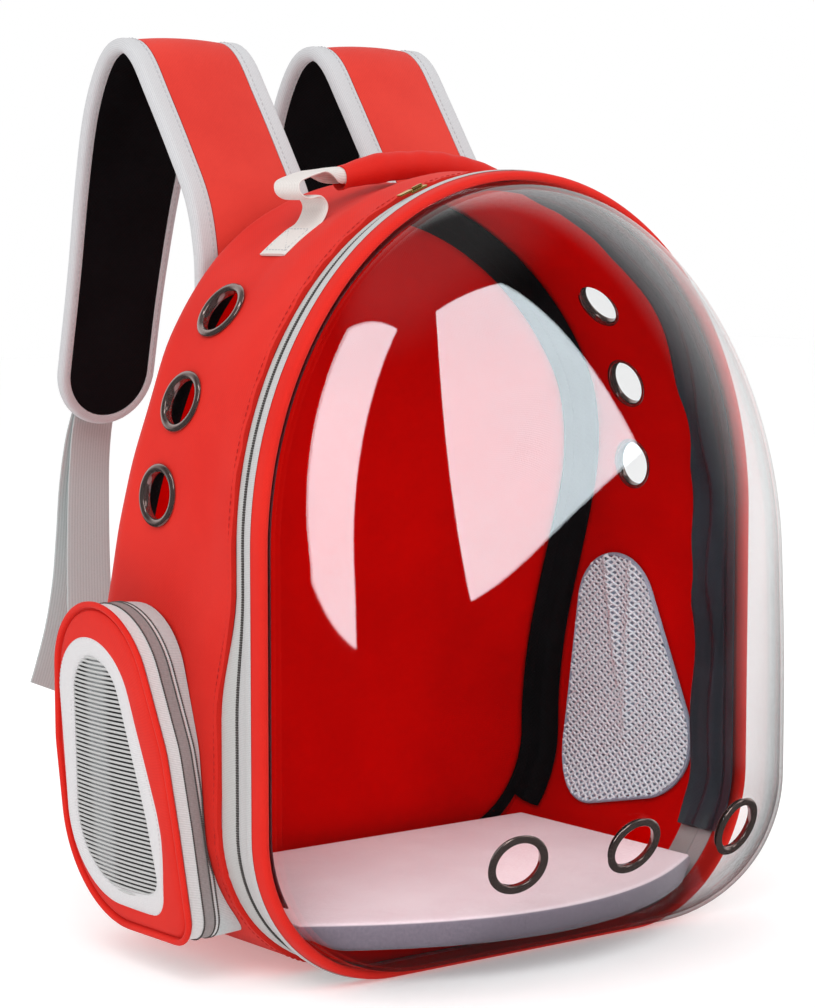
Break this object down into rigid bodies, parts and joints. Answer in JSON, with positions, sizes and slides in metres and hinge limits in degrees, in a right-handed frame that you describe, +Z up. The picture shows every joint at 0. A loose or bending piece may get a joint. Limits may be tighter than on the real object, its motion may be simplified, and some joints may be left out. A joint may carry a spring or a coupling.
{
  "type": "pet carrier backpack",
  "caption": "Red cloth pet carrier backpack with a clear bubble door, metal eyelets, mesh side pods, padded shoulder straps and a carry handle.",
  "frame": {"origin": "middle of the flat base, on the surface that the bag stands on", "axes": "+Z up, -Y the way the bubble faces, +X to the right seen from the front"},
  "size_m": [0.4012, 0.4306, 0.4974],
  "materials": {
    "red_cloth": "coated polyester weave, satin",
    "cabin_red": "smooth covered board",
    "clear_dome": "clear polished polycarbonate",
    "black_cloth": "plain black cloth",
    "grey_binding": "light grey edge binding",
    "grey_webbing": "ribbed grey webbing",
    "zip_tape": "grey woven zip tape",
    "zip_coil": "dark nylon coil",
    "gunmetal": "polished gunmetal plating",
    "pad_cloth": "off-white pad cover",
    "white_net": "white open net",
    "black_buckle": "moulded black acetal",
    "gold_slider": "gold zip slider"
  },
  "bodies": {
    "root": {"gusset": "red_cloth", "back_panel": "red_cloth", "back_seam_binding": "black_cloth", "inner_zip_guard": "black_cloth", "front_frame": "red_cloth", "zip_tape_door": "zip_tape", "zip_tape_shell": "zip_tape", "zip_coil": "zip_coil", "zip_slider": "gold_slider", "dome": "clear_dome", "base_board": "cabin_red", "floor_pad": "pad_cloth", "handle_grip": "red_cloth", "side_grommet_left_1": "gunmetal", "side_grommet_left_2": "gunmetal", "side_grommet_left_3": "gunmetal", "pod_gusset_left": "zip_tape", "pod_zip_coil_left": "zip_coil", "pod_face_left": "red_cloth", "pod_trim_left": "grey_binding", "pod_mesh_left": "white_net", "wall_mesh_left": "white_net", "wall_mesh_border_left": "grey_webbing", "strap_pad_left": "red_cloth", "strap_lining_left": "black_cloth", "strap_binding_left": "grey_binding", "ladder_lock_left": "black_buckle", "strap_webbing_left": "grey_webbing", "handle_web_left": "grey_webbing", "side_grommet_right_1": "gunmetal", "side_grommet_right_2": "gunmetal", "side_grommet_right_3": "gunmetal", "pod_gusset_right": "zip_tape", "pod_zip_coil_right": "zip_coil", "pod_face_right": "red_cloth", "pod_trim_right": "grey_binding", "pod_mesh_right": "white_net", "wall_mesh_right": "white_net", "wall_mesh_border_right": "grey_webbing", "strap_pad_right": "red_cloth", "strap_lining_right": "black_cloth", "strap_binding_right": "grey_binding", "ladder_lock_right": "black_buckle", "strap_webbing_right": "grey_webbing", "handle_web_right": "grey_webbing", "dome_grommet_1": "gunmetal", "dome_grommet_2": "gunmetal", "dome_grommet_3": "gunmetal"}
  },
  "joints": []
}
